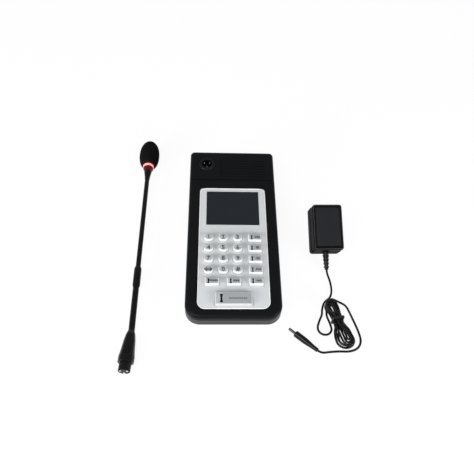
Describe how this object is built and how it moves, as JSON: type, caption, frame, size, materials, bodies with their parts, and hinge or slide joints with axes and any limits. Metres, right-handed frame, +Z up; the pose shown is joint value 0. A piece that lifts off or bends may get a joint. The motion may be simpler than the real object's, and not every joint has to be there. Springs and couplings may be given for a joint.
{
  "type": "paging microphone",
  "caption": "Desk paging console with a sloped keypad and screen, a detached gooseneck microphone with a foam windscreen, and a plug-in power adapter with a tied lead.",
  "frame": {"origin": "on the table, at the middle of the box round the console, the gooseneck and the adapter", "axes": "+X to the right as someone at the keypad sees it, +Y away from them, +Z up"},
  "size_m": [0.3031, 0.3742, 0.0555],
  "materials": {
    "black_shell": "fine texture",
    "silver_panel": "satin",
    "screen": "gloss, dark",
    "module": "matte",
    "key_cap": "satin",
    "silicone": "matte",
    "board": "matte",
    "black_metal": "satin",
    "contact": "polished",
    "steel": "bright",
    "cone": "matte",
    "foot_rubber": "matte",
    "foam": "open foam",
    "ring": "translucent",
    "adapter_black": "fine texture",
    "cord_black": "satin",
    "tie": "satin"
  },
  "bodies": {
    "set": {"base_shell": "black_shell", "top_cover": "black_shell", "keypad_panel": "silver_panel", "screen_lens": "screen", "lcd_module": "module", "key_mat": "silicone", "key_board": "board", "main_board": "board", "mic_socket": "black_metal", "socket_pins": "contact", "speaker_frame": "black_metal", "rear_ports": "black_shell", "feet": "foot_rubber", "case_screws": "steel", "plug_shell": "black_metal", "plug_insert": "black_shell", "plug_contacts": "contact", "adapter_cover": "adapter_black", "adapter_base": "adapter_black", "adapter_pins": "steel", "adapter_board": "board", "cord_boot": "cord_black", "cord_lead": "cord_black", "cord_hank": "cord_black", "hank_tie": "tie", "cord_tail": "cord_black", "dc_plug_grip": "cord_black", "dc_plug_barrel": "steel"},
    "digit_key_1": {"digit_key_1": "key_cap"},
    "digit_key_2": {"digit_key_2": "key_cap"},
    "digit_key_3": {"digit_key_3": "key_cap"},
    "digit_key_4": {"digit_key_4": "key_cap"},
    "digit_key_5": {"digit_key_5": "key_cap"},
    "digit_key_6": {"digit_key_6": "key_cap"},
    "digit_key_7": {"digit_key_7": "key_cap"},
    "digit_key_8": {"digit_key_8": "key_cap"},
    "digit_key_9": {"digit_key_9": "key_cap"},
    "digit_key_left": {"digit_key_left": "key_cap"},
    "digit_key_0": {"digit_key_0": "key_cap"},
    "digit_key_right": {"digit_key_right": "key_cap"},
    "side_key_1": {"side_key_1": "key_cap"},
    "side_key_2": {"side_key_2": "key_cap"},
    "side_key_3": {"side_key_3": "key_cap"},
    "side_key_4": {"side_key_4": "key_cap"},
    "lower_key_1": {"lower_key_1": "key_cap"},
    "lower_key_2": {"lower_key_2": "key_cap"},
    "lower_key_3": {"lower_key_3": "key_cap"},
    "talk_key": {"talk_key": "key_cap"},
    "cone": {"speaker_cone": "cone"},
    "latch": {"latch_tab": "black_metal"},
    "neck_1": {"lower_neck_near": "black_metal"},
    "neck_2": {"lower_neck_far": "black_metal", "neck_sleeve": "black_metal"},
    "neck_3": {"upper_neck_near": "black_metal"},
    "neck_4": {"upper_neck_mid": "black_metal"},
    "head": {"upper_neck_far": "black_metal", "head_collar": "black_shell", "light_ring": "ring", "mic_capsule": "steel", "windscreen": "foam"}
  },
  "joints": [
    {"name": "digit_key_1_press", "type": "slide", "parent": "set", "child": "digit_key_1", "axis": [0, 0.1219, -0.9925], "range_m": [0, 0.001], "stiffness_N_per_m": 500},
    {"name": "digit_key_2_press", "type": "slide", "parent": "set", "child": "digit_key_2", "axis": [0, 0.1219, -0.9925], "range_m": [0, 0.001], "stiffness_N_per_m": 500},
    {"name": "digit_key_3_press", "type": "slide", "parent": "set", "child": "digit_key_3", "axis": [0, 0.1219, -0.9925], "range_m": [0, 0.001], "stiffness_N_per_m": 500},
    {"name": "digit_key_4_press", "type": "slide", "parent": "set", "child": "digit_key_4", "axis": [0, 0.1219, -0.9925], "range_m": [0, 0.001], "stiffness_N_per_m": 500},
    {"name": "digit_key_5_press", "type": "slide", "parent": "set", "child": "digit_key_5", "axis": [0, 0.1219, -0.9925], "range_m": [0, 0.001], "stiffness_N_per_m": 500},
    {"name": "digit_key_6_press", "type": "slide", "parent": "set", "child": "digit_key_6", "axis": [0, 0.1219, -0.9925], "range_m": [0, 0.001], "stiffness_N_per_m": 500},
    {"name": "digit_key_7_press", "type": "slide", "parent": "set", "child": "digit_key_7", "axis": [0, 0.1219, -0.9925], "range_m": [0, 0.001], "stiffness_N_per_m": 500},
    {"name": "digit_key_8_press", "type": "slide", "parent": "set", "child": "digit_key_8", "axis": [0, 0.1219, -0.9925], "range_m": [0, 0.001], "stiffness_N_per_m": 500},
    {"name": "digit_key_9_press", "type": "slide", "parent": "set", "child": "digit_key_9", "axis": [0, 0.1219, -0.9925], "range_m": [0, 0.001], "stiffness_N_per_m": 500},
    {"name": "digit_key_left_press", "type": "slide", "parent": "set", "child": "digit_key_left", "axis": [0, 0.1219, -0.9925], "range_m": [0, 0.001], "stiffness_N_per_m": 500},
    {"name": "digit_key_0_press", "type": "slide", "parent": "set", "child": "digit_key_0", "axis": [0, 0.1219, -0.9925], "range_m": [0, 0.001], "stiffness_N_per_m": 500},
    {"name": "digit_key_right_press", "type": "slide", "parent": "set", "child": "digit_key_right", "axis": [0, 0.1219, -0.9925], "range_m": [0, 0.001], "stiffness_N_per_m": 500},
    {"name": "side_key_1_press", "type": "slide", "parent": "set", "child": "side_key_1", "axis": [0, 0.1219, -0.9925], "range_m": [0, 0.001], "stiffness_N_per_m": 500},
    {"name": "side_key_2_press", "type": "slide", "parent": "set", "child": "side_key_2", "axis": [0, 0.1219, -0.9925], "range_m": [0, 0.001], "stiffness_N_per_m": 500},
    {"name": "side_key_3_press", "type": "slide", "parent": "set", "child": "side_key_3", "axis": [0, 0.1219, -0.9925], "range_m": [0, 0.001], "stiffness_N_per_m": 500},
    {"name": "side_key_4_press", "type": "slide", "parent": "set", "child": "side_key_4", "axis": [0, 0.1219, -0.9925], "range_m": [0, 0.001], "stiffness_N_per_m": 500},
    {"name": "lower_key_1_press", "type": "slide", "parent": "set", "child": "lower_key_1", "axis": [0, 0.1219, -0.9925], "range_m": [0, 0.001], "stiffness_N_per_m": 500},
    {"name": "lower_key_2_press", "type": "slide", "parent": "set", "child": "lower_key_2", "axis": [0, 0.1219, -0.9925], "range_m": [0, 0.001], "stiffness_N_per_m": 500},
    {"name": "lower_key_3_press", "type": "slide", "parent": "set", "child": "lower_key_3", "axis": [0, 0.1219, -0.9925], "range_m": [0, 0.001], "stiffness_N_per_m": 500},
    {"name": "talk_key_press", "type": "slide", "parent": "set", "child": "talk_key", "axis": [0, 0.1219, -0.9925], "range_m": [0, 0.001], "stiffness_N_per_m": 500},
    {"name": "cone_stroke", "type": "slide", "parent": "set", "child": "cone", "axis": [0, -0.1219, 0.9925], "range_m": [-0.0003, 0.0003], "stiffness_N_per_m": 200},
    {"name": "latch_press", "type": "slide", "parent": "set", "child": "latch", "axis": [0, 0, -1], "range_m": [0, 0.0009], "stiffness_N_per_m": 500},
    {"name": "root_lift", "type": "hinge", "parent": "set", "child": "neck_1", "pos_m": [-0.12708, -0.13379, 0.0095], "axis": [0.9999, 0.0134, 0], "range_deg": [0, 35]},
    {"name": "lower_swing", "type": "hinge", "parent": "neck_1", "child": "neck_2", "pos_m": [-0.1275, -0.1028, 0.01012], "axis": [0.0003, -0.0201, 0.9998], "range_deg": [-3, 30]},
    {"name": "middle_lift", "type": "hinge", "parent": "neck_2", "child": "neck_3", "pos_m": [-0.12842, -0.03382, 0.01151], "axis": [0.9999, 0.0134, 0], "range_deg": [0, 35]},
    {"name": "upper_swing", "type": "hinge", "parent": "neck_3", "child": "neck_4", "pos_m": [-0.12912, 0.01817, 0.01255], "axis": [0.0003, -0.0201, 0.9998], "range_deg": [-10, 30]},
    {"name": "head_lift", "type": "hinge", "parent": "neck_4", "child": "head", "pos_m": [-0.12982, 0.07015, 0.0136], "axis": [0.9999, 0.0134, 0], "range_deg": [0, 35]}
  ]
}
